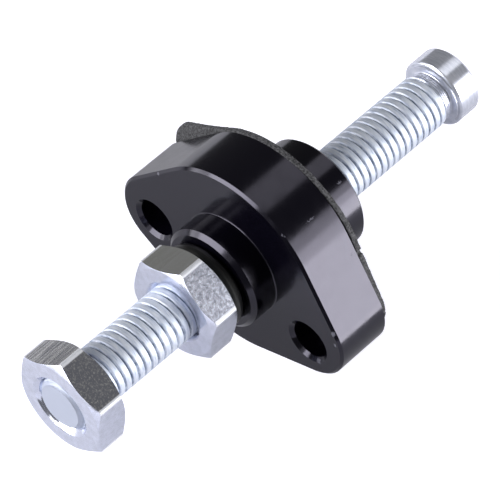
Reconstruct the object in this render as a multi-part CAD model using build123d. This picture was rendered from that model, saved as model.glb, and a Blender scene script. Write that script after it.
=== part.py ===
from build123d import *
import os
from itertools import chain
from math import acos, asin, atan2, ceil, cos, hypot, radians, sin, tan

os.makedirs("parts", exist_ok=True)

# Manual cam chain tensioner, in millimetres. The screw's axis is Y, pointing into the engine. Y = 0 is the
# flange's mounting face, the bolt holes lie along X, and Z is up.

# Thread: the screw has it as sharp rings at its pitch, and a tapped hole is a plain bore round the crests.
screw_r = 4.95
thread_pitch = 1.5
thread_depth = 0.9
thread_clearance = 0.05

# Body: flange, front boss and spigot. Each ear's centre is set back from its bolt hole, towards the axis.
flange_thickness = 10.5
hub_r = 18.4
ear_r = 8.3
ear_setback_x = 1.05
ear_setback_z = 1.2
flange_chamfer = 0.45
bolt_spacing = 34.2
bolt_drop = 5.0
bolt_hole_r = 3.5
bolt_hole_chamfer = 0.65
boss_r = 9.6
boss_length = 5.25
boss_chamfer = 0.75
boss_foot_fillet = 0.25
spigot_r = 10.4
spigot_length = 10.4
spigot_chamfer = 0.4
bore_chamfer = 0.5

# Gasket: a little smaller than the flange, it lies loose and turned on the spigot, with both ears curled off.
# A narrow web is left between its holes.
gasket_thickness = 1.1
gasket_inset = 0.84
gasket_turn = -9.85
gasket_bolt_clearance = 0.7
gasket_web = 1.116
curl_start_x = 8.0
curl_r = 70.1
lift_start_x = 1.87
lift_r = 117.4
nick_x = 16.3
nick_z = 7.15
nick_r = 0.45

# How far the gasket lies off the axis, as shares of its play on the spigot
gasket_shift_share_x = -1 / 6
gasket_shift_share_z = 7 / 15

# Hex nuts
nut_width = 17.0
nut_height = 6.0
nut_face_r = 8.45
nut_bevel = 30.0
nut_countersink = 0.4
lock_nut_angle = 27.5
head_nut_angle = 35.7

# Seal ring between the front boss and the lock nut
seal_section_r = 1.44
seal_screw_clearance = 0.17
seal_seat_gap = 0.01

# Screw: distance between the nuts, then the pusher
nut_gap = 19.9
screw_end_proud = 0.05
screw_end_chamfer = 1.0
pusher_reach = 39.54
pusher_r = 6.34
pusher_thickness = 4.87
pusher_near_chamfer = 0.3
pusher_far_chamfer = 0.5
washer_face_r = 5.7
washer_face_height = 0.3
neck_r = 4.45
neck_length = 1.9
neck_fillet = 0.35

# How closely an edge has to match a plane and a radius to be picked
pick_tolerance = 0.001

# Places that follow from the sizes above
flange_front = -flange_thickness
boss_end = flange_front - boss_length
seal_middle = boss_end - seal_seat_gap - seal_section_r
lock_nut_inner = seal_middle - seal_section_r - seal_seat_gap
lock_nut_outer = lock_nut_inner - nut_height
head_nut_inner = lock_nut_outer - nut_gap
head_nut_outer = head_nut_inner - nut_height
bore_r = screw_r + thread_clearance
bolt_x = bolt_spacing / 2
ear_x = bolt_x - ear_setback_x
ear_drop = bolt_drop - ear_setback_z
gasket_bolt_hole_r = bolt_hole_r + gasket_bolt_clearance
gasket_spigot_hole_r = hypot(bolt_x, bolt_drop) - gasket_bolt_hole_r - gasket_web
gasket_play = gasket_spigot_hole_r - spigot_r
gasket_shift_x = gasket_shift_share_x * gasket_play
gasket_shift_z = gasket_shift_share_z * gasket_play
gasket_reach = hypot(ear_x, ear_drop) + ear_r + hypot(gasket_shift_x, gasket_shift_z)


def rod(radius, y_from, y_to):
    """A round bar on the screw's axis."""
    middle = (y_from + y_to) / 2
    return Pos(0, middle, 0) * Rot(90, 0, 0) * Cylinder(radius, y_to - y_from)


def rims(shape, y, radius):
    """The circular edges of a given radius in the plane at y."""
    return [
        edge
        for edge in shape.edges().filter_by(GeomType.CIRCLE)
        if abs(edge.center(CenterOf.BOUNDING_BOX).Y - y) < pick_tolerance
        and abs(edge.radius - radius) < pick_tolerance
    ]


def ear_side(side, inset):
    """One ear and the stretch that joins it to the hub, bounded by their two common tangents."""
    inner_hub_r = hub_r - inset
    inner_ear_r = ear_r - inset
    hub = (0, 0)
    ear = (side * ear_x, -ear_drop)
    towards_ear = atan2(ear[1], ear[0])
    spread = acos((hub_r - ear_r) / hypot(*ear))

    def tangent_point(centre, radius, turn):
        angle = towards_ear + turn
        return (centre[0] + radius * cos(angle), centre[1] + radius * sin(angle))

    bridge = Polyline(
        hub,
        tangent_point(hub, inner_hub_r, spread),
        tangent_point(ear, inner_ear_r, spread),
        tangent_point(ear, inner_ear_r, -spread),
        tangent_point(hub, inner_hub_r, -spread),
        close=True,
    )
    return make_face(bridge.edges()) + Pos(*ear) * Circle(inner_ear_r)


def lozenge(inset):
    """The hub and two ears, joined by tangents: the flange's outline, or one that is an inset smaller."""
    return (Circle(hub_r - inset) + ear_side(1, inset) + ear_side(-1, inset)).clean()


def tensioner_body():
    """The flange with its front boss and rear spigot, bored through on the screw's axis."""
    flange = extrude(Plane.XZ * lozenge(0), flange_thickness)
    front = flange.faces().sort_by(Axis.Y)[0]
    flange = chamfer(front.edges(), flange_chamfer)
    boss = rod(boss_r, boss_end, flange_front + flange_chamfer)
    boss = chamfer(rims(boss, boss_end, boss_r), boss_chamfer)
    spigot = rod(spigot_r, -flange_chamfer, spigot_length)
    spigot = chamfer(rims(spigot, spigot_length, spigot_r), spigot_chamfer)
    body = flange + boss + spigot
    body = fillet(rims(body, flange_front, boss_r), boss_foot_fillet)
    body -= rod(bore_r, boss_end, spigot_length)
    mouths = rims(body, boss_end, bore_r) + rims(body, spigot_length, bore_r)
    body = chamfer(mouths, bore_chamfer)
    for side in (-1, 1):
        body -= Pos(side * bolt_x, 0, -bolt_drop) * rod(bolt_hole_r, flange_front, 0)
    return chamfer(rims(body, flange_front, bolt_hole_r), bolt_hole_chamfer)


def bent_stretch(side, start_x, bend_r, height):
    """Three points along a sheet that bends up from start_x, at a height above the sheet's underside."""
    bend = asin((gasket_reach - start_x) / bend_r)
    arm = bend_r - height
    return [
        (side * (start_x + arm * sin(bend * share)), bend_r - arm * cos(bend * share))
        for share in (0, 0.5, 1)
    ]


def curled_sheet():
    """A sheet flat on the flange in its middle, curled off it on one side and lifted on the other."""
    curl_under = bent_stretch(-1, curl_start_x, curl_r, 0)
    curl_over = bent_stretch(-1, curl_start_x, curl_r, gasket_thickness)
    lift_under = bent_stretch(1, lift_start_x, lift_r, 0)
    lift_over = bent_stretch(1, lift_start_x, lift_r, gasket_thickness)
    section = [
        ThreePointArc(*curl_under),
        Line(curl_under[0], lift_under[0]),
        ThreePointArc(*lift_under),
        Line(lift_under[2], lift_over[2]),
        ThreePointArc(*lift_over),
        Line(lift_over[0], curl_over[0]),
        ThreePointArc(*curl_over),
        Line(curl_over[2], curl_under[2]),
    ]
    return extrude(make_face(section), gasket_reach, both=True)


def gasket():
    """The flange's outline, inset, with holes for the spigot and the bolts, cut out of the curled sheet."""
    outline = lozenge(gasket_inset) - Circle(gasket_spigot_hole_r)
    for side in (-1, 1):
        outline -= Pos(side * bolt_x, -bolt_drop) * Circle(gasket_bolt_hole_r)
    outline = Pos(gasket_shift_x, gasket_shift_z) * Rot(0, 0, gasket_turn) * outline
    outline -= Pos(nick_x, nick_z) * Circle(nick_r)
    return extrude(Plane.XZ * outline, gasket_reach, both=True) & curled_sheet()


def hex_nut(y_outer, corner_angle):
    """A hex nut with both faces bevelled, its bore countersunk at both ends."""
    corner_r = nut_width / 2 / cos(radians(30))
    bevel_height = (corner_r - nut_face_r) * tan(radians(nut_bevel))
    y_inner = y_outer + nut_height
    hexagon = RegularPolygon(corner_r, 6, rotation=corner_angle)
    blank = Pos(0, y_outer, 0) * extrude(Plane.XZ * hexagon, -nut_height)
    bevelled = Polyline(
        (0, y_outer),
        (nut_face_r, y_outer),
        (corner_r, y_outer + bevel_height),
        (corner_r, y_inner - bevel_height),
        (nut_face_r, y_inner),
        (0, y_inner),
        close=True,
    )
    nut = blank & revolve(make_face(bevelled.edges()), Axis.Y)
    nut -= rod(bore_r, y_outer, y_inner)
    mouths = rims(nut, y_outer, bore_r) + rims(nut, y_inner, bore_r)
    return chamfer(mouths, nut_countersink)


def thread_rings(y_from, y_to):
    """The thread's roots and crests as turned points, from a crest at y_from to the last one before y_to."""
    crests = [y_from + turn * thread_pitch for turn in range(ceil((y_to - y_from) / thread_pitch))]
    grooves = [[(screw_r - thread_depth, y - thread_pitch / 2), (screw_r, y)] for y in crests[1:]]
    return [(screw_r, y_from), *chain(*grooves)]


def adjuster_screw():
    """The screw with its thread, neck, washer face and pusher head, turned from one bar."""
    outer_end = head_nut_outer - screw_end_proud
    neck_start = pusher_reach - neck_length
    washer_face = pusher_reach - washer_face_height
    pusher_end = pusher_reach + pusher_thickness
    thread_end = neck_start - (screw_r - neck_r)
    turned = Polyline(
        (0, outer_end),
        (screw_r - screw_end_chamfer, outer_end),
        *thread_rings(outer_end + screw_end_chamfer, thread_end),
        (screw_r, thread_end),
        (neck_r, neck_start),
        (neck_r, washer_face),
        (washer_face_r, washer_face),
        (washer_face_r, pusher_reach),
        (pusher_r - pusher_near_chamfer, pusher_reach),
        (pusher_r, pusher_reach + pusher_near_chamfer),
        (pusher_r, pusher_end - pusher_far_chamfer),
        (pusher_r - pusher_far_chamfer, pusher_end),
        (0, pusher_end),
        close=True,
    )
    screw = revolve(make_face(turned.edges()), Axis.Y)
    return fillet(rims(screw, washer_face, neck_r), neck_fillet)


def seal_ring():
    """A round-section ring on the screw, squeezed between the front boss and the lock nut."""
    ring_r = screw_r + seal_screw_clearance + seal_section_r
    return Pos(0, seal_middle, 0) * Rot(90, 0, 0) * Torus(ring_r, seal_section_r)


parts = {
    "tensioner_body": tensioner_body(),
    "gasket": gasket(),
    "adjuster_screw": adjuster_screw(),
    "head_nut": hex_nut(head_nut_outer, head_nut_angle),
    "lock_nut": hex_nut(lock_nut_outer, lock_nut_angle),
    "seal_ring": seal_ring(),
}

for name, shape in parts.items():
    export_step(shape, f"parts/{name}.step")
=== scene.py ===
from math import ceil, cos, hypot, pi, radians, sin, tan

import bpy
from mathutils import Matrix, Vector


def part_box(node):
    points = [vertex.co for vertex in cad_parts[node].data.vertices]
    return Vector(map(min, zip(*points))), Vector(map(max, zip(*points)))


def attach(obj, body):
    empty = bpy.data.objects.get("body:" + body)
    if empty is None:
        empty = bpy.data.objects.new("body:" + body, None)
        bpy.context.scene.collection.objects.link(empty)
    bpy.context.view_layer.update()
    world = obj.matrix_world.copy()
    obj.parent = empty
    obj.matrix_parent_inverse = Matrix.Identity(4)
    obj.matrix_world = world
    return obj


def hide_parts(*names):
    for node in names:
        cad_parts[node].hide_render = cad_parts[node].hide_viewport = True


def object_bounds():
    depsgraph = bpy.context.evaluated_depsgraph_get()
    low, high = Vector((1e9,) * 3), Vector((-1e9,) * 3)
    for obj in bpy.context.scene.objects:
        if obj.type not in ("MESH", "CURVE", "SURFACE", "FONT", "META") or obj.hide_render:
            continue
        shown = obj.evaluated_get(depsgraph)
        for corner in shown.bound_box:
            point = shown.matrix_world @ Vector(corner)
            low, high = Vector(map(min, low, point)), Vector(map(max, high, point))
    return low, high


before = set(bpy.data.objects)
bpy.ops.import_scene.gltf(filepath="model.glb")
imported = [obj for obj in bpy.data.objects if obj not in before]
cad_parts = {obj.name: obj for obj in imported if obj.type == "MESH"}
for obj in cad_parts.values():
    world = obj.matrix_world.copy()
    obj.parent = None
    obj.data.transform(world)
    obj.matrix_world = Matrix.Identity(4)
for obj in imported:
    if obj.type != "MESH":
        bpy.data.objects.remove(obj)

# A manual cam chain tensioner. The screw's axis is Y, pointing into the engine. Y = 0 is the flange's
# mounting face, the bolt holes lie along X, and Z is up. Lengths are in metres.

MM = 0.001
CAD_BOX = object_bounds()

# How finely round forms are divided
ROUND_STEPS = 192
THREAD_STEPS = 72
FILLET_STEPS = 5
SEAL_SECTION_STEPS = 56

# Angles under which faces shade as one surface, and under which they become one face
SMOOTH_ANGLE = radians(25)
FLAT_ANGLE = radians(0.2)

# How close corners have to be to merge, in any piece and along the seam of a drawn thread, and how close to a
# cut they count as on it
MERGE_DISTANCE = 0.0005 * MM
SEAM_DISTANCE = 0.001 * MM
CUT_DISTANCE = 0.0001 * MM

# How far a form reaches past the one that it cuts or joins
OVERCUT = 0.5 * MM

# Thread of the screw and the head nut, and the plain bore of the body and the lock nut
PITCH = 1.5 * MM
CREST_R = 4.95 * MM
THREAD_DEPTH = 0.4 * MM
TAP_CLEARANCE = 0.04 * MM
BORE_R = 5.0 * MM
# One tooth, as shares of the pitch and of the depth under the crest
TOOTH = ((0, 1), (0.15, 0.12), (0.19, 0.03), (0.24, 0), (0.76, 0), (0.81, 0.03), (0.85, 0.12), (1, 1))

# Flange, boss and spigot of the body
FLANGE_THICKNESS = 10.5 * MM
HUB_R = 18.4 * MM
EAR_R = 8.3 * MM
EAR_X = 16.05 * MM
EAR_DROP = 3.8 * MM
FLANGE_CHAMFER = 0.45 * MM
BOLT_X = 17.1 * MM
BOLT_DROP = 5.0 * MM
BOLT_HOLE_R = 3.5 * MM
BOLT_HOLE_CHAMFER = 0.65 * MM
BOSS_R = 9.6 * MM
BOSS_CHAMFER = 0.75 * MM
BOSS_FOOT_FILLET = 0.25 * MM
SPIGOT_R = 10.4 * MM
SPIGOT_CHAMFER = 0.4 * MM
BORE_CHAMFER = 0.5 * MM
BODY_EDGE = 0.05 * MM
BODY_EDGE_ANGLE = radians(35)

# Nuts
NUT_WIDTH = 17.0 * MM
NUT_FACE_R = 8.45 * MM
NUT_BEVEL = radians(30)
COUNTERSINK_R = 5.85 * MM
LOCK_NUT_ANGLE = radians(27.5)
HEAD_NUT_ANGLE = radians(35.7)
NUT_CORNER = 0.26 * MM
NUT_EDGE = 0.15 * MM

# Ends of the screw
END_CHAMFER = 1.0 * MM
PUSHER_THICKNESS = 4.87 * MM
PUSHER_NEAR_CHAMFER = 0.3 * MM
PUSHER_FAR_CHAMFER = 0.5 * MM
WASHER_FACE_R = 5.7 * MM
WASHER_FACE_HEIGHT = 0.3 * MM
NECK_R = 4.45 * MM
NECK_LENGTH = 1.9 * MM
NECK_FILLET = 0.35 * MM
NECK_RING_PITCH = 0.4 * MM
NECK_RING_HEIGHT = 0.16 * MM
NECK_RINGS = 3
# One turned ring of the neck, as shares of the rings' pitch and height
NECK_RING = ((0, 0), (0.1, 1), (0.75, 1), (0.85, 0))
RUNOUT = 1.5 * MM
PUSHER_EDGE = 0.08 * MM

# Seal ring, and the moulding line round it
SEAL_SECTION_R = 1.44 * MM
SEAL_SQUEEZE = 0.06 * MM
FLASH_HEIGHT = 0.05 * MM
FLASH_REACH = 0.02 * MM

# Roughness of the gasket's fibre, drawn coarser than it is
FIBRE_VOXEL = 0.16 * MM
FIBRE_GRAIN = 0.5 * MM
FIBRE_RELIEF = 0.02 * MM

# Patterns of the surfaces by the size of their grain, how deep each is, and how it is stretched along x, y
# and z. All but the clouds are drawn coarser than they are, to show.
FILM_CLOUD = 2.5 * MM
FILM_ETCH = 0.14 * MM
FILM_RELIEF = 0.005 * MM
CHIP_RAGGEDNESS = 0.3 * MM
CHIP_SHIFT = 0.9 * MM
CHIP_CORE_SHARE = 0.55
CHIP_DEPTH_IN_ETCHES = 3.0
PLATING_CLOUD = 1.2 * MM
DRAWN_STREAK = 0.45 * MM
DRAWN_SCALE = (1, 0.05, 1)
HEAD_NUT_DENT = 0.36 * MM
LOCK_NUT_DENT = 0.62 * MM
DENT_RELIEF = 0.009 * MM
PLATING_GRAIN = 0.45 * MM
PLATING_SCALE = (0.25, 1.6, 0.25)
PLATING_RELIEF = 0.004 * MM
FIBRE_SPECK = 0.32 * MM
RUBBER_SKIN = 0.2 * MM
RUBBER_RELIEF = 0.01 * MM

# How deep under the crest the painted shade in its groove begins, as a share of the thread's depth, and how
# far the grain of the plating shifts that edge
GROOVE_SHARE = 0.3
GROOVE_SHIFT = 1.1 * MM

# Where the tints of the plating change: over the long corners of a nut, by the distance from the axis, then
# at the screw's end face and at its head, by Y
RUBBED_R = (9.5 * MM, 9.62 * MM)
END_FACE_Y = (-50.2 * MM, -49.6 * MM)
HEAD_Y = (36.5 * MM, 38 * MM)

# How nearly a face has to look along a flat's direction to take its marks
FLAT_FACING = (0.95, 0.99)

# How much paler the gasket's fibre is where it is cut
CUT_FIBRE_GAIN = 1.45

# Chips and scratches of the body: centre, then reach along x, y and z, in mm
BODY_CHIPS = [
    ((21.8, -10.4, 1.7), (0.4, 0.5, 0.6)),
    ((22.5, -10.4, -0.5), (0.32, 0.5, 0.45)),
    ((19.7, -10.3, -8.0), (0.7, 0.5, 0.5)),
    ((9.3, -10.3, 15.9), (0.5, 0.3, 0.3)),
    ((-17.3, -10.4, 7.5), (0.6, 0.3, 0.3)),
    ((9.9, -4.6, 15.5), (0.1, 1.1, 0.14)),
    ((16.4, -0.9, 9.0), (0.15, 0.15, 0.7)),
    ((5.3, 8.5, 8.9), (0.25, 0.5, 0.25)),
]


def select_only(piece):
    """Makes a piece the only one that operators act on."""
    bpy.ops.object.select_all(action="DESELECT")
    piece.select_set(True)
    bpy.context.view_layer.objects.active = piece


def settle(piece, name):
    """Names a piece and moves its place into its mesh."""
    select_only(piece)
    bpy.ops.object.transform_apply(location=True, rotation=True, scale=True)
    piece.name = name
    piece.data.name = name
    return piece


def apply_modifier(piece, kind, **settings):
    """Adds a modifier to a piece and applies it."""
    select_only(piece)
    modifier = piece.modifiers.new(kind.title(), kind)
    for key, value in settings.items():
        setattr(modifier, key, value)
    bpy.ops.object.modifier_apply(modifier=modifier.name)
    return piece


def combine(piece, tool, operation):
    """Adds, cuts or intersects a piece with a tool, which is then thrown away."""
    apply_modifier(
        piece, "BOOLEAN", object=tool, operation=operation, solver="EXACT", material_mode="TRANSFER"
    )
    bpy.data.objects.remove(tool)
    return piece


def mend(piece):
    """Merges doubles and turns the faces outwards."""
    select_only(piece)
    bpy.ops.object.mode_set(mode="EDIT")
    bpy.ops.mesh.select_all(action="SELECT")
    bpy.ops.mesh.remove_doubles(threshold=MERGE_DISTANCE)
    bpy.ops.mesh.normals_make_consistent(inside=False)
    bpy.ops.object.mode_set(mode="OBJECT")
    return piece


def shade(piece):
    """Shades a piece smooth, apart from its edges, with its flats as flat as they are."""
    select_only(piece)
    bpy.ops.object.shade_smooth_by_angle(angle=SMOOTH_ANGLE)
    return apply_modifier(piece, "WEIGHTED_NORMAL", keep_sharp=True)


def turned(name, profile, place=(0, 0)):
    """A turned solid: a disc drawn out along Y through (y, radius) steps, round an axis at place (x, z)."""
    (y, radius), *steps = profile
    bpy.ops.object.select_all(action="DESELECT")
    bpy.ops.mesh.primitive_circle_add(
        vertices=ROUND_STEPS, radius=radius, fill_type="NGON", location=(0, y, 0), rotation=(pi / 2, 0, 0)
    )
    piece = settle(bpy.context.object, name)
    bpy.ops.object.mode_set(mode="EDIT")
    bpy.ops.mesh.select_all(action="SELECT")
    for next_y, next_radius in steps:
        bpy.ops.mesh.extrude_region_move(TRANSFORM_OT_translate={"value": (0, next_y - y, 0)})
        growth = next_radius / radius
        bpy.ops.transform.resize(value=(growth, 1, growth), center_override=(0, next_y, 0))
        y, radius = next_y, next_radius
    bpy.ops.mesh.select_all(action="SELECT")
    bpy.ops.transform.translate(value=(place[0], 0, place[1]))
    bpy.ops.object.mode_set(mode="OBJECT")
    return mend(piece)


def fillet_steps(y_centre, r_centre, radius, start, end):
    """(y, radius) steps round a fillet's arc. Angles run from +Y towards the outside."""
    angles = [start + (end - start) * step / FILLET_STEPS for step in range(FILLET_STEPS + 1)]
    return [(y_centre + radius * cos(a), r_centre + radius * sin(a)) for a in angles]


def threaded(name, y_from, y_to, swell, limits):
    """A bar with the right-hand thread, grown by swell. limits gives the least and greatest radius at a y.

    The plated thread has broad flat crests with softened edges, and sharp roots. It is drawn some turns too
    long and then cut at both ends.
    """
    tooth = [(CREST_R + swell - THREAD_DEPTH * drop, share * PITCH) for share, drop in TOOTH]
    first_turn = int(y_from // PITCH) - 1
    turns = ceil((y_to - y_from) / PITCH) + 3
    corners = [(radius, first_turn * PITCH + y, 0) for radius, y in tooth]
    mesh = bpy.data.meshes.new(name)
    mesh.from_pydata(corners, [(k, k + 1) for k in range(len(corners) - 1)], [])
    piece = bpy.data.objects.new(name, mesh)
    bpy.context.scene.collection.objects.link(piece)
    apply_modifier(
        piece,
        "SCREW",
        axis="Y",
        steps=THREAD_STEPS,
        render_steps=THREAD_STEPS,
        iterations=turns,
        screw_offset=PITCH,
        use_merge_vertices=True,
        merge_threshold=SEAM_DISTANCE,
    )
    for vertex in piece.data.vertices:
        x, y, z = vertex.co
        radius = hypot(x, z)
        least, greatest = limits(y)
        growth = min(max(radius, least), greatest) / radius
        vertex.co = (x * growth, y, z * growth)
    mend(piece)
    bpy.ops.object.mode_set(mode="EDIT")
    for y, keep_above in ((y_from, True), (y_to, False)):
        bpy.ops.mesh.select_all(action="SELECT")
        bpy.ops.mesh.bisect(
            plane_co=(0, y, 0),
            plane_no=(0, 1, 0),
            use_fill=True,
            clear_inner=keep_above,
            clear_outer=not keep_above,
            threshold=CUT_DISTANCE,
        )
    bpy.ops.object.mode_set(mode="OBJECT")
    return mend(piece)


def tap(piece, y_from, y_to, mouth_r):
    """Cuts a tapped bore right through a piece, countersunk to mouth_r at both faces."""

    def countersunk(y):
        return mouth_r - max(min(y - y_from, y_to - y), 0), mouth_r + OVERCUT

    tool = threaded("tap", y_from - OVERCUT, y_to + OVERCUT, TAP_CLEARANCE, countersunk)
    return combine(piece, tool, "DIFFERENCE")


def bore(piece, y_from, y_to, mouth_r):
    """Bores a piece right through, round the screw's crests, countersunk to mouth_r at both faces.

    It takes a thread's place in the pieces that the screw slides in, as the screw doesn't turn there.
    """
    depth = mouth_r - BORE_R
    tool = turned(
        "drill",
        [
            (y_from - OVERCUT, mouth_r + OVERCUT),
            (y_from + depth, BORE_R),
            (y_to - depth, BORE_R),
            (y_to + OVERCUT, mouth_r + OVERCUT),
        ],
    )
    return combine(piece, tool, "DIFFERENCE")


def adjuster_screw():
    """The screw with its thread, chamfered end, neck, washer face and pusher head."""
    low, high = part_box("adjuster_screw")
    outer_end = low.y
    pusher_r = high.x
    pusher_near = high.y - PUSHER_THICKNESS
    washer_face = pusher_near - WASHER_FACE_HEIGHT
    neck_start = pusher_near - NECK_LENGTH
    root = CREST_R - THREAD_DEPTH

    def envelope(y):
        runout = root + (NECK_R - root) * min(max((y - neck_start + RUNOUT) / RUNOUT, 0), 1)
        end_chamfer = CREST_R - END_CHAMFER + max(y - outer_end, 0)
        neck_chamfer = NECK_R + max(neck_start - y, 0)
        return min(runout, end_chamfer), min(CREST_R, end_chamfer, neck_chamfer)

    screw = threaded("zinc_screw", outer_end, neck_start, 0, envelope)
    fillet = fillet_steps(washer_face - NECK_FILLET, NECK_R + NECK_FILLET, NECK_FILLET, -pi / 2, 0)
    rings = [
        (neck_start + (ring + share) * NECK_RING_PITCH, NECK_R + height * NECK_RING_HEIGHT)
        for ring in range(NECK_RINGS)
        for share, height in NECK_RING
    ]
    head = turned(
        "pusher_head",
        [
            (neck_start - OVERCUT, root),
            (neck_start - OVERCUT / 2, root),
            *rings,
            *fillet[1:],
            (washer_face, WASHER_FACE_R),
            (pusher_near, WASHER_FACE_R),
            (pusher_near, pusher_r - PUSHER_NEAR_CHAMFER),
            (pusher_near + PUSHER_NEAR_CHAMFER, pusher_r),
            (high.y - PUSHER_FAR_CHAMFER, pusher_r),
            (high.y, pusher_r - PUSHER_FAR_CHAMFER),
        ],
    )
    apply_modifier(
        head, "BEVEL", width=PUSHER_EDGE, segments=2, limit_method="ANGLE", angle_limit=SMOOTH_ANGLE
    )
    select_only(screw)
    head.select_set(True)
    bpy.ops.object.join()
    return shade(screw)


def bevel_edges(piece, chosen, width, segments):
    """Bevels the edges for which chosen says yes, given the places of their two ends."""
    select_only(piece)
    bpy.ops.object.mode_set(mode="EDIT")
    bpy.ops.mesh.select_all(action="DESELECT")
    bpy.ops.mesh.select_mode(type="EDGE")
    bpy.ops.object.mode_set(mode="OBJECT")
    corners = piece.data.vertices
    for edge in piece.data.edges:
        edge.select = chosen(*(corners[k].co for k in edge.vertices))
    bpy.ops.object.mode_set(mode="EDIT")
    bpy.ops.mesh.bevel(offset=width, segments=segments, affect="EDGES")
    bpy.ops.mesh.select_mode(type="VERT")
    bpy.ops.object.mode_set(mode="OBJECT")
    return piece


def hex_nut(name, node, corner_angle, cut_hole):
    """A hex nut with both faces bevelled and softened corners. cut_hole makes its hole: tap or bore.

    The hexagon starts out too long, so that the bevelled blank alone makes both faces.
    """
    low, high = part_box(node)
    corner_r = NUT_WIDTH / 2 / cos(pi / 6)
    bevel = (corner_r - NUT_FACE_R) * tan(NUT_BEVEL)
    bpy.ops.object.select_all(action="DESELECT")
    bpy.ops.mesh.primitive_cylinder_add(
        vertices=6,
        radius=corner_r,
        depth=high.y - low.y + 2 * OVERCUT,
        location=(0, (low.y + high.y) / 2, 0),
        rotation=(pi / 2, pi / 6 - corner_angle, 0),
    )
    nut = settle(bpy.context.object, name)
    bevel_edges(nut, lambda a, b: abs(a.y - b.y) > NUT_CORNER, NUT_CORNER, 4)
    blank = turned(
        "bevelled_blank",
        [
            (low.y, NUT_FACE_R),
            (low.y + bevel, corner_r),
            (high.y - bevel, corner_r),
            (high.y, NUT_FACE_R),
        ],
    )
    combine(nut, blank, "INTERSECT")
    apply_modifier(nut, "BEVEL", width=NUT_EDGE, segments=3, limit_method="ANGLE", angle_limit=SMOOTH_ANGLE)
    cut_hole(nut, low.y, high.y, COUNTERSINK_R)
    return shade(mend(nut))


def lozenge(name, y_from, y_to):
    """The flange's outline as a solid: the hull round the hub and two ears."""
    rounds = [(0, 0, HUB_R), (-EAR_X, -EAR_DROP, EAR_R), (EAR_X, -EAR_DROP, EAR_R)]
    discs = [turned(name, [(y_from, radius), (y_to, radius)], (x, z)) for x, z, radius in rounds]
    select_only(discs[0])
    for disc in discs[1:]:
        disc.select_set(True)
    bpy.ops.object.join()
    piece = discs[0]
    bpy.ops.object.mode_set(mode="EDIT")
    bpy.ops.mesh.select_all(action="SELECT")
    bpy.ops.mesh.convex_hull()
    bpy.ops.mesh.select_all(action="SELECT")
    bpy.ops.mesh.dissolve_limited(angle_limit=FLAT_ANGLE)
    bpy.ops.object.mode_set(mode="OBJECT")
    return mend(piece)


def tensioner_body():
    """Flange, boss and spigot in one piece, with chamfered bolt holes and the screw's bore."""
    low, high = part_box("tensioner_body")
    front = -FLANGE_THICKNESS
    body = lozenge("anodised_body", front, 0)
    bevel_edges(body, lambda a, b: max(a.y, b.y) < front + OVERCUT, FLANGE_CHAMFER, 1)
    foot = fillet_steps(
        front - BOSS_FOOT_FILLET, BOSS_R + BOSS_FOOT_FILLET, BOSS_FOOT_FILLET, -pi / 2, 0
    )
    boss = turned(
        "boss",
        [(low.y, BOSS_R - BOSS_CHAMFER), (low.y + BOSS_CHAMFER, BOSS_R), *foot, (-OVERCUT, foot[-1][1])],
    )
    spigot = turned(
        "spigot",
        [
            (-OVERCUT, SPIGOT_R),
            (high.y - SPIGOT_CHAMFER, SPIGOT_R),
            (high.y, SPIGOT_R - SPIGOT_CHAMFER),
        ],
    )
    combine(body, boss, "UNION")
    combine(body, spigot, "UNION")
    apply_modifier(
        body, "BEVEL", width=BODY_EDGE, segments=2, limit_method="ANGLE", angle_limit=BODY_EDGE_ANGLE
    )
    mouth = BOLT_HOLE_R + BOLT_HOLE_CHAMFER
    for side in (-1, 1):
        drill = turned(
            "drill",
            [
                (front - OVERCUT, mouth + OVERCUT),
                (front + BOLT_HOLE_CHAMFER, BOLT_HOLE_R),
                (OVERCUT, BOLT_HOLE_R),
            ],
            (side * BOLT_X, -BOLT_DROP),
        )
        combine(body, drill, "DIFFERENCE")
    bore(body, low.y, high.y, BORE_R + BORE_CHAMFER)
    return shade(mend(body))


def gasket_sheet():
    """The curled gasket, its surface and cut edges roughened like pressed fibre."""
    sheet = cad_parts["gasket"].copy()
    sheet.data = sheet.data.copy()
    for key in list(sheet.keys()):
        del sheet[key]
    sheet.parent = None
    bpy.context.scene.collection.objects.link(sheet)
    settle(sheet, "fibre_gasket")
    mend(sheet)
    apply_modifier(sheet, "REMESH", mode="VOXEL", voxel_size=FIBRE_VOXEL, use_smooth_shade=True)
    grain = bpy.data.textures.new("fibre_grain", "CLOUDS")
    grain.noise_scale = FIBRE_GRAIN
    apply_modifier(
        sheet, "DISPLACE", texture=grain, texture_coords="LOCAL", strength=FIBRE_RELIEF, mid_level=0.5
    )
    return sheet


def seal_ring():
    """The rubber ring, pressed flat where the nut and the boss squeeze it, with a moulding line outside."""
    low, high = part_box("seal_ring")
    middle = (low.y + high.y) / 2
    ring_r = high.x - SEAL_SECTION_R
    bpy.ops.object.select_all(action="DESELECT")
    bpy.ops.mesh.primitive_torus_add(
        major_segments=ROUND_STEPS,
        minor_segments=SEAL_SECTION_STEPS,
        major_radius=ring_r,
        minor_radius=SEAL_SECTION_R,
        location=(0, middle, 0),
        rotation=(pi / 2, 0, 0),
    )
    ring = settle(bpy.context.object, "rubber_seal")
    flat = SEAL_SECTION_R - SEAL_SQUEEZE
    for vertex in ring.data.vertices:
        x, y, z = vertex.co
        radius = hypot(x, z)
        on_line = abs(y - middle) < FLASH_REACH and radius > ring_r
        swell = 1 + FLASH_HEIGHT / radius if on_line else 1
        vertex.co = (x * swell, middle + min(max(y - middle, -flat), flat), z * swell)
    return shade(ring)


def linear(hex_colour):
    """An sRGB hex colour as linear red, green, blue and alpha."""
    shares = [int(hex_colour[k : k + 2], 16) / 255 for k in (1, 3, 5)]
    return (*(c / 12.92 if c <= 0.04045 else ((c + 0.055) / 1.055) ** 2.4 for c in shares), 1)


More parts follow.
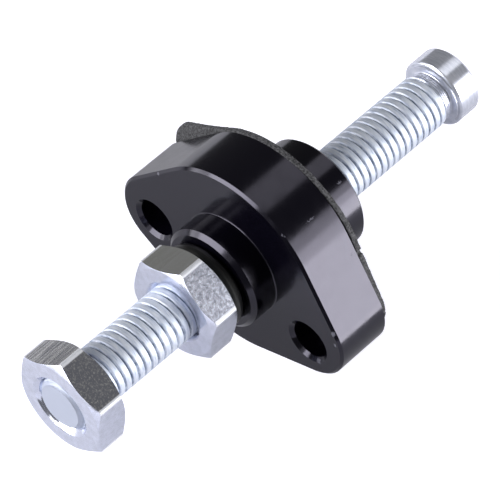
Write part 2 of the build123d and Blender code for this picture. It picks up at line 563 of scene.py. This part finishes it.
def feed(tree, node, inputs):
    """Gives a node its inputs. Each is a value, or the socket that feeds it."""
    for key, value in inputs.items():
        if isinstance(value, bpy.types.NodeSocket):
            tree.links.new(value, node.inputs[key])
        else:
            node.inputs[key].default_value = value


def add(tree, kind, inputs, **settings):
    """Adds a node with its settings and inputs."""
    node = tree.nodes.new(kind)
    for key, value in settings.items():
        setattr(node, key, value)
    feed(tree, node, inputs)
    return node


def new_material(name):
    """An empty material, with its tree, its shader and its Object coordinates."""
    material = bpy.data.materials.new(name)
    material.use_nodes = True
    tree = material.node_tree
    shader = tree.nodes["Principled BSDF"]
    place = add(tree, "ShaderNodeTexCoord", {}).outputs["Object"]
    return material, tree, shader, place


def layered(tree, colour, layers):
    """A colour with others laid over it in turn, each by its mask."""
    for mask, layer in layers:
        mix = add(tree, "ShaderNodeMix", {"Factor": mask, "A": colour, "B": layer}, data_type="RGBA")
        colour = mix.outputs["Result"]
    return colour


def tinted(tree, factor, low, high, colours):
    """Two sRGB colours blended by a factor that runs from low to high."""
    share = add(tree, "ShaderNodeMapRange", {"Value": factor, "From Min": low, "From Max": high})
    dark, pale = (linear(colour) for colour in colours)
    return layered(tree, dark, [(share.outputs["Result"], pale)])


def axis_distance(tree, place):
    """How far a place is from the screw's axis."""
    across = add(tree, "ShaderNodeVectorMath", {0: place, 1: (1, 0, 1)}, operation="MULTIPLY")
    return add(tree, "ShaderNodeVectorMath", {0: across.outputs[0]}, operation="LENGTH").outputs["Value"]


def marks(tree, place, spots):
    """A mask of ragged chips and scratches. Each spot is its centre and its reach along x, y and z, in mm."""
    ragged = add(tree, "ShaderNodeTexNoise", {"Vector": place, "Scale": 1 / CHIP_RAGGEDNESS, "Detail": 3})
    shift = add(
        tree, "ShaderNodeVectorMath", {0: ragged.outputs["Color"], 1: (0.5, 0.5, 0.5)}, operation="SUBTRACT"
    )
    push = add(tree, "ShaderNodeVectorMath", {0: shift.outputs[0], "Scale": CHIP_SHIFT}, operation="SCALE")
    worn = add(tree, "ShaderNodeVectorMath", {0: place, 1: push.outputs[0]}, operation="ADD").outputs[0]
    mask = 0.0
    for centre, reach in spots:
        offset = add(
            tree, "ShaderNodeVectorMath", {0: worn, 1: Vector(centre) * MM}, operation="SUBTRACT"
        ).outputs[0]
        shares = [1 / (length * MM) for length in reach]
        scaled = add(tree, "ShaderNodeVectorMath", {0: offset, 1: shares}, operation="MULTIPLY").outputs[0]
        distance = add(tree, "ShaderNodeVectorMath", {0: scaled}, operation="LENGTH").outputs["Value"]
        spot = add(
            tree,
            "ShaderNodeMapRange",
            {"Value": distance, "From Min": CHIP_CORE_SHARE, "To Min": 1.0, "To Max": 0.0},
        )
        mask = add(tree, "ShaderNodeMath", {0: mask, 1: spot.outputs[0]}, operation="MAXIMUM").outputs[0]
    return mask


def black_anodised_aluminium():
    """Dyed and sealed anodic film on milled aluminium: a violet black with a satin, glass-like reflection.

    Chips at the rims and a few scratches show the bare metal under the film.
    """
    material, tree, shader, place = new_material("black_anodised_aluminium")
    film = add(tree, "ShaderNodeTexNoise", {"Vector": place, "Scale": 1 / FILM_CLOUD, "Detail": 4})
    rough = add(
        tree,
        "ShaderNodeMapRange",
        {"Value": film.outputs["Fac"], "From Min": 0.3, "From Max": 0.7, "To Min": 0.13, "To Max": 0.2},
    )
    etch = add(tree, "ShaderNodeTexNoise", {"Vector": place, "Scale": 1 / FILM_ETCH, "Detail": 3})
    chipped = marks(tree, place, BODY_CHIPS)
    worn_rough = add(
        tree, "ShaderNodeMix", {"Factor": chipped, "A": rough.outputs["Result"], "B": 0.5}, data_type="FLOAT"
    )
    sunk = add(
        tree,
        "ShaderNodeMath",
        {0: chipped, 1: -CHIP_DEPTH_IN_ETCHES, 2: etch.outputs["Fac"]},
        operation="MULTIPLY_ADD",
    )
    bump = add(
        tree, "ShaderNodeBump", {"Height": sunk.outputs[0], "Strength": 0.35, "Distance": FILM_RELIEF}
    )
    feed(
        tree,
        shader,
        {
            "Base Color": layered(tree, linear("#06050d"), [(chipped, linear("#6c6c77"))]),
            "Roughness": worn_rough.outputs["Result"],
            "Normal": bump.outputs["Normal"],
            "Specular Tint": linear("#ece8ff"),
            "IOR": 1.5,
        },
    )
    return material


def on_flat(tree, angle):
    """A mask of the nut's flat that faces an angle round the axis, from +X towards +Z."""
    facing = add(tree, "ShaderNodeTexCoord", {}).outputs["Normal"]
    share = add(
        tree,
        "ShaderNodeVectorMath",
        {0: facing, 1: (cos(angle), 0, sin(angle))},
        operation="DOT_PRODUCT",
    ).outputs["Value"]
    return add(
        tree, "ShaderNodeMapRange", {"Value": share, "From Min": FLAT_FACING[0], "From Max": FLAT_FACING[1]}
    ).outputs["Result"]


def on_corners(tree, place):
    """A mask of the nut's six long corners, by their distance from the axis."""
    radius = axis_distance(tree, place)
    return add(
        tree, "ShaderNodeMapRange", {"Value": radius, "From Min": RUBBED_R[0], "From Max": RUBBED_R[1]}
    ).outputs["Result"]


def zinc_plated_nut(name, corner_angle, drawn_tints, dent_size, dent_and_painted_reflection_tints, dent_range, dent_rough):
    """Blue-passivated zinc on a forged nut: bright lavender metal, rubbed white along its corners.

    The flat past the corner at corner_angle is marked by small dents and tinted darker, a painted dark
    reflection of the dim room that it faces; the one after it keeps the streaks of the bar's drawing.
    """
    material, tree, shader, place = new_material(name)
    cloud = add(tree, "ShaderNodeTexNoise", {"Vector": place, "Scale": 1 / PLATING_CLOUD, "Detail": 4})
    plain = tinted(tree, cloud.outputs["Fac"], 0.3, 0.7, ("#ccd0e0", "#dde1f1"))
    drawn = add(tree, "ShaderNodeMapping", {"Vector": place, "Scale": DRAWN_SCALE})
    streaks = add(
        tree,
        "ShaderNodeTexNoise",
        {"Vector": drawn.outputs["Vector"], "Scale": 1 / DRAWN_STREAK, "Detail": 4, "Roughness": 0.7},
    )
    streaked = tinted(tree, streaks.outputs["Fac"], 0.38, 0.62, drawn_tints)
    dents = add(
        tree, "ShaderNodeTexNoise", {"Vector": place, "Scale": 1 / dent_size, "Detail": 5, "Roughness": 0.7}
    )
    # Painted reflection: the dents' tints sit darker than the plain plating, standing for the dark room this
    # flat mirrors
    dented_painted_reflection = tinted(tree, dents.outputs["Fac"], *dent_range, dent_and_painted_reflection_tints)
    streak_mask = on_flat(tree, corner_angle + pi / 2)
    dent_mask = on_flat(tree, corner_angle + pi / 6)
    corners = on_corners(tree, place)
    layers = [(streak_mask, streaked), (dent_mask, dented_painted_reflection), (corners, linear("#f4f6fe"))]
    bump = add(
        tree,
        "ShaderNodeBump",
        {"Height": dents.outputs["Fac"], "Strength": dent_mask, "Distance": DENT_RELIEF},
    )
    rough = add(tree, "ShaderNodeMapRange", {"Value": dent_mask, "To Min": 0.17, "To Max": dent_rough})
    rubbed = add(
        tree, "ShaderNodeMix", {"Factor": corners, "A": rough.outputs["Result"], "B": 0.45}, data_type="FLOAT"
    )
    metal = add(tree, "ShaderNodeMapRange", {"Value": corners, "To Min": 0.88, "To Max": 0.45})
    feed(
        tree,
        shader,
        {
            "Base Color": layered(tree, plain, layers),
            "Metallic": metal.outputs["Result"],
            "Roughness": rubbed.outputs["Result"],
            "Normal": bump.outputs["Normal"],
        },
    )
    return material


def zinc_plated_screw():
    """Blue-passivated zinc: satin and bluish on the rolled thread, with painted shade in its grooves,
    brighter on the head.

    The grain runs round the screw, and makes the edges of the grooves' painted shade uneven.
    """
    material, tree, shader, place = new_material("zinc_plated_rolled_screw")
    along = add(tree, "ShaderNodeSeparateXYZ", {"Vector": place})
    head = add(
        tree,
        "ShaderNodeMapRange",
        {"Value": along.outputs["Y"], "From Min": HEAD_Y[0], "From Max": HEAD_Y[1]},
    ).outputs["Result"]
    rolled = add(tree, "ShaderNodeMapping", {"Vector": place, "Scale": PLATING_SCALE})
    grain = add(
        tree,
        "ShaderNodeTexNoise",
        {"Vector": rolled.outputs["Vector"], "Scale": 1 / PLATING_GRAIN, "Detail": 4, "Roughness": 0.6},
    )
    thread = tinted(tree, grain.outputs["Fac"], 0.3, 0.7, ("#c9d4ea", "#f2f6ff"))
    shifted = add(
        tree,
        "ShaderNodeMath",
        {0: grain.outputs["Fac"], 1: GROOVE_SHIFT, 2: axis_distance(tree, place)},
        operation="MULTIPLY_ADD",
    ).outputs[0]
    # Painted shade: the thread's roots are tinted darker, standing for the shade between its flanks
    groove_shade = add(
        tree,
        "ShaderNodeMapRange",
        {
            "Value": shifted,
            "From Min": CREST_R - THREAD_DEPTH + GROOVE_SHIFT / 2,
            "From Max": CREST_R - GROOVE_SHARE * THREAD_DEPTH + GROOVE_SHIFT / 2,
            "To Min": 1.0,
            "To Max": 0.0,
        },
    ).outputs["Result"]
    end_face = add(
        tree,
        "ShaderNodeMapRange",
        {
            "Value": along.outputs["Y"],
            "From Min": END_FACE_Y[0],
            "From Max": END_FACE_Y[1],
            "To Min": 1.0,
            "To Max": 0.0,
        },
    ).outputs["Result"]
    turned_head = tinted(tree, grain.outputs["Fac"], 0.3, 0.7, ("#c6cad9", "#e9ecf8"))
    # The grooves' dark tint is painted shade
    layers = [(groove_shade, linear("#808da3")), (end_face, linear("#b4bacb")), (head, turned_head)]
    bump = add(
        tree,
        "ShaderNodeBump",
        {"Height": grain.outputs["Fac"], "Strength": 0.6, "Distance": PLATING_RELIEF},
    )
    rough = add(tree, "ShaderNodeMapRange", {"Value": head, "To Min": 0.55, "To Max": 0.2})
    metal = add(tree, "ShaderNodeMapRange", {"Value": head, "To Min": 0.42, "To Max": 0.64})
    feed(
        tree,
        shader,
        {
            "Base Color": layered(tree, thread, layers),
            "Metallic": metal.outputs["Result"],
            "Roughness": rough.outputs["Result"],
            "Normal": bump.outputs["Normal"],
        },
    )
    return material


def pressed_fibre():
    """Compressed gasket fibre: dull dark grey with paler specks, and paler still where it is cut."""
    material, tree, shader, place = new_material("pressed_gasket_fibre")
    speck = add(tree, "ShaderNodeTexNoise", {"Vector": place, "Scale": 1 / FIBRE_SPECK, "Detail": 4})
    fibre = tinted(tree, speck.outputs["Fac"], 0.38, 0.7, ("#222224", "#5f5f63"))
    facing = add(tree, "ShaderNodeTexCoord", {}).outputs["Normal"]
    directions = add(tree, "ShaderNodeSeparateXYZ", {"Vector": facing})
    face_on = add(tree, "ShaderNodeMath", {0: directions.outputs["Y"]}, operation="ABSOLUTE")
    cut = add(
        tree,
        "ShaderNodeMapRange",
        {"Value": face_on.outputs[0], "From Min": 0.3, "From Max": 0.8, "To Min": 1.0, "To Max": 0.0},
    )
    pale = add(
        tree,
        "ShaderNodeMix",
        {"Factor": 1.0, "A": fibre, "B": (CUT_FIBRE_GAIN, CUT_FIBRE_GAIN, CUT_FIBRE_GAIN, 1)},
        data_type="RGBA",
        blend_type="MULTIPLY",
    )
    colour = layered(tree, fibre, [(cut.outputs["Result"], pale.outputs["Result"])])
    feed(tree, shader, {"Base Color": colour, "Roughness": 0.85})
    return material


def nitrile_rubber():
    """Moulded black rubber with a dull skin."""
    material, tree, shader, place = new_material("black_nitrile_rubber")
    skin = add(tree, "ShaderNodeTexNoise", {"Vector": place, "Scale": 1 / RUBBER_SKIN, "Detail": 3})
    bump = add(
        tree, "ShaderNodeBump", {"Height": skin.outputs["Fac"], "Strength": 0.4, "Distance": RUBBER_RELIEF}
    )
    feed(
        tree, shader, {"Base Color": linear("#0c0c0d"), "Roughness": 0.38, "Normal": bump.outputs["Normal"]}
    )
    return material


def dress(piece, material, body, node):
    """Gives a piece its material and its body, and hides the CAD node that it stands for."""
    piece.data.materials.clear()
    piece.data.materials.append(material)
    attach(piece, body)
    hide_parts(node)


anodised = black_anodised_aluminium()
zinc_head = zinc_plated_nut(
    "zinc_plated_head_nut",
    HEAD_NUT_ANGLE,
    drawn_tints=("#a3a5ae", "#ffffff"),
    dent_size=HEAD_NUT_DENT,
    # Tints of the dents, darkened on this flat as a painted dark reflection
    dent_and_painted_reflection_tints=("#b9bbc6", "#ffffff"),
    dent_range=(0.5, 0.64),
    dent_rough=0.15,
)
zinc_lock = zinc_plated_nut(
    "zinc_plated_lock_nut",
    LOCK_NUT_ANGLE,
    drawn_tints=("#e3e4e0", "#eceded"),
    dent_size=LOCK_NUT_DENT,
    # Tints of the dents, darkened on this flat as a painted dark reflection
    dent_and_painted_reflection_tints=("#9295a4", "#d9dcea"),
    dent_range=(0.36, 0.64),
    dent_rough=0.22,
)

dress(tensioner_body(), anodised, "housing", "tensioner_body")
dress(gasket_sheet(), pressed_fibre(), "housing", "gasket")
dress(adjuster_screw(), zinc_plated_screw(), "adjuster", "adjuster_screw")
head_nut = hex_nut("zinc_head_nut", "head_nut", HEAD_NUT_ANGLE, tap)
lock_nut = hex_nut("zinc_lock_nut", "lock_nut", LOCK_NUT_ANGLE, bore)
dress(head_nut, zinc_head, "adjuster", "head_nut")
dress(lock_nut, zinc_lock, "locking_nut", "lock_nut")
dress(seal_ring(), nitrile_rubber(), "seal", "seal_ring")


# Studio: a pale table top, soft boxes near the horizon, a weak panel above and a dim room. A soft box is
# given by the azimuths and then the elevations that it fills as the part sees it, in degrees, and by its
# radiance. 1 is white.
FLOOR_DROP = 4 * MM
FLOOR_R = 0.2
LAMP_DISTANCE = 0.7
SOFT_BOXES = {
    "right_soft_box_low": (45, 75, -10, 15, 10.4),
    "right_soft_box_middle": (45, 75, 15, 27, 7.4),
    "right_soft_box_top": (45, 75, 27, 39, 3.9),
    "left_soft_box": (-171, -127, 4, 35, 8.5),
    "left_soft_box_side": (-127, -115, -3, 14, 3.5),
    "front_soft_box": (-188, -168, 6, 27, 2.0),
    "front_wall": (-195, -115, -9, 6, 1.3),
    "rear_panel": (-37, 10, 50, 66, 1.4),
}
ROOM_LEVEL = 0.11

# How much the table top is brightened in the camera's view, and as it is mirrored in the part: dimmed near
# its middle as a painted shadow of the part, and brighter further out
FLOOR_SEEN = 0.78
FLOOR_MIRRORED_NEAR = 0.08
FLOOR_MIRRORED_FAR = 0.62
FLOOR_NEAR_R = 30 * MM
FLOOR_FAR_R = 130 * MM

# The photograph's camera, solved from the object: a long lens above the right front
LENS_MM = 263.8
SENSOR_WIDTH_MM = 36
CAMERA_REACH = 20
CAMERA_PLACE = (0.2125, -0.2897, 0.4802)
CAMERA_FORWARD = (-0.3557, 0.4746, -0.8051)
CAMERA_UP = (-0.5774, 0.5659, 0.5886)


def studio_floor():
    """A round table top of pale paper. The camera sees it white, apart from the part's shadow; mirrored in
    the part, it is dimmed near the middle by a painted shadow.
    """
    bpy.ops.object.select_all(action="DESELECT")
    bpy.ops.mesh.primitive_circle_add(
        vertices=ROUND_STEPS,
        radius=FLOOR_R,
        fill_type="NGON",
        location=(0, 0, CAD_BOX[0][2] - FLOOR_DROP),
    )
    floor = settle(bpy.context.object, "studio_floor")
    material, tree, shader, place = new_material("white_paper")
    ray = add(tree, "ShaderNodeLightPath", {})
    mirrored = add(
        tree,
        "ShaderNodeMath",
        {0: ray.outputs["Is Glossy Ray"], 1: ray.outputs["Is Transmission Ray"]},
        operation="MAXIMUM",
    )
    # Painted shadow: in the part's reflections the table top is dimmed near the middle, where the part shades
    # it
    distance = add(tree, "ShaderNodeVectorMath", {0: place}, operation="LENGTH").outputs["Value"]
    level = add(
        tree,
        "ShaderNodeMapRange",
        {
            "Value": distance,
            "From Min": FLOOR_NEAR_R,
            "From Max": FLOOR_FAR_R,
            "To Min": FLOOR_MIRRORED_NEAR,
            "To Max": FLOOR_MIRRORED_FAR,
        },
    ).outputs["Result"]
    dimmed = add(tree, "ShaderNodeMath", {0: mirrored.outputs[0], 1: level}, operation="MULTIPLY")
    lift = add(
        tree,
        "ShaderNodeMath",
        {0: ray.outputs["Is Camera Ray"], 1: FLOOR_SEEN, 2: dimmed.outputs[0]},
        operation="MULTIPLY_ADD",
    )
    feed(
        tree,
        shader,
        {
            "Base Color": linear("#d6d6dd"),
            "Roughness": 0.95,
            "Specular IOR Level": 0.0,
            "Emission Color": linear("#f6f6ff"),
            "Emission Strength": lift.outputs[0],
        },
    )
    floor.data.materials.append(material)


def soft_box(name, azimuth_from, azimuth_to, elevation_from, elevation_to, radiance):
    """An area lamp aimed at the part. Azimuth turns from +Y towards +X."""
    azimuth = radians(azimuth_from + azimuth_to) / 2
    elevation = radians(elevation_from + elevation_to) / 2
    lamp = bpy.data.lights.new(name, "AREA")
    lamp.shape = "RECTANGLE"
    lamp.size = 2 * LAMP_DISTANCE * tan(radians(azimuth_to - azimuth_from) / 2) * cos(elevation)
    lamp.size_y = 2 * LAMP_DISTANCE * tan(radians(elevation_to - elevation_from) / 2)
    lamp.energy = radiance * lamp.size * lamp.size_y * pi
    holder = bpy.data.objects.new(name, lamp)
    bpy.context.scene.collection.objects.link(holder)
    towards = Vector((sin(azimuth) * cos(elevation), cos(azimuth) * cos(elevation), sin(elevation)))
    holder.location = towards * LAMP_DISTANCE
    holder.rotation_euler = towards.to_track_quat("Z", "Y").to_euler()
    holder.visible_camera = False


def studio_room():
    """A dim grey room that only the camera sees as white."""
    world = bpy.data.worlds.new("studio_room")
    bpy.context.scene.world = world
    world.use_nodes = True
    tree = world.node_tree
    room = tree.nodes["Background"]
    feed(tree, room, {"Color": linear("#ffffff"), "Strength": ROOM_LEVEL})
    white = add(tree, "ShaderNodeBackground", {"Color": linear("#ffffff"), "Strength": 1.0})
    ray = add(tree, "ShaderNodeLightPath", {})
    mix = add(
        tree,
        "ShaderNodeMixShader",
        {0: ray.outputs["Is Camera Ray"], 1: room.outputs["Background"], 2: white.outputs["Background"]},
    )
    tree.links.new(mix.outputs["Shader"], tree.nodes["World Output"].inputs["Surface"])


def studio_camera():
    """The photograph's camera."""
    lens = bpy.data.cameras.new("photo_camera")
    lens.lens = LENS_MM
    lens.sensor_width = SENSOR_WIDTH_MM
    lens.clip_end = CAMERA_REACH
    camera = bpy.data.objects.new("photo_camera", lens)
    bpy.context.scene.collection.objects.link(camera)
    forward = Vector(CAMERA_FORWARD).normalized()
    up = Vector(CAMERA_UP).normalized()
    right = forward.cross(up)
    camera.matrix_world = Matrix.Translation(CAMERA_PLACE) @ Matrix(
        (right, right.cross(forward), -forward)
    ).transposed().to_4x4()
    bpy.context.scene.camera = camera


studio_floor()
for lamp_name, lamp_range in SOFT_BOXES.items():
    soft_box(lamp_name, *lamp_range)
studio_room()
studio_camera()
bpy.context.scene.view_settings.view_transform = "Standard"
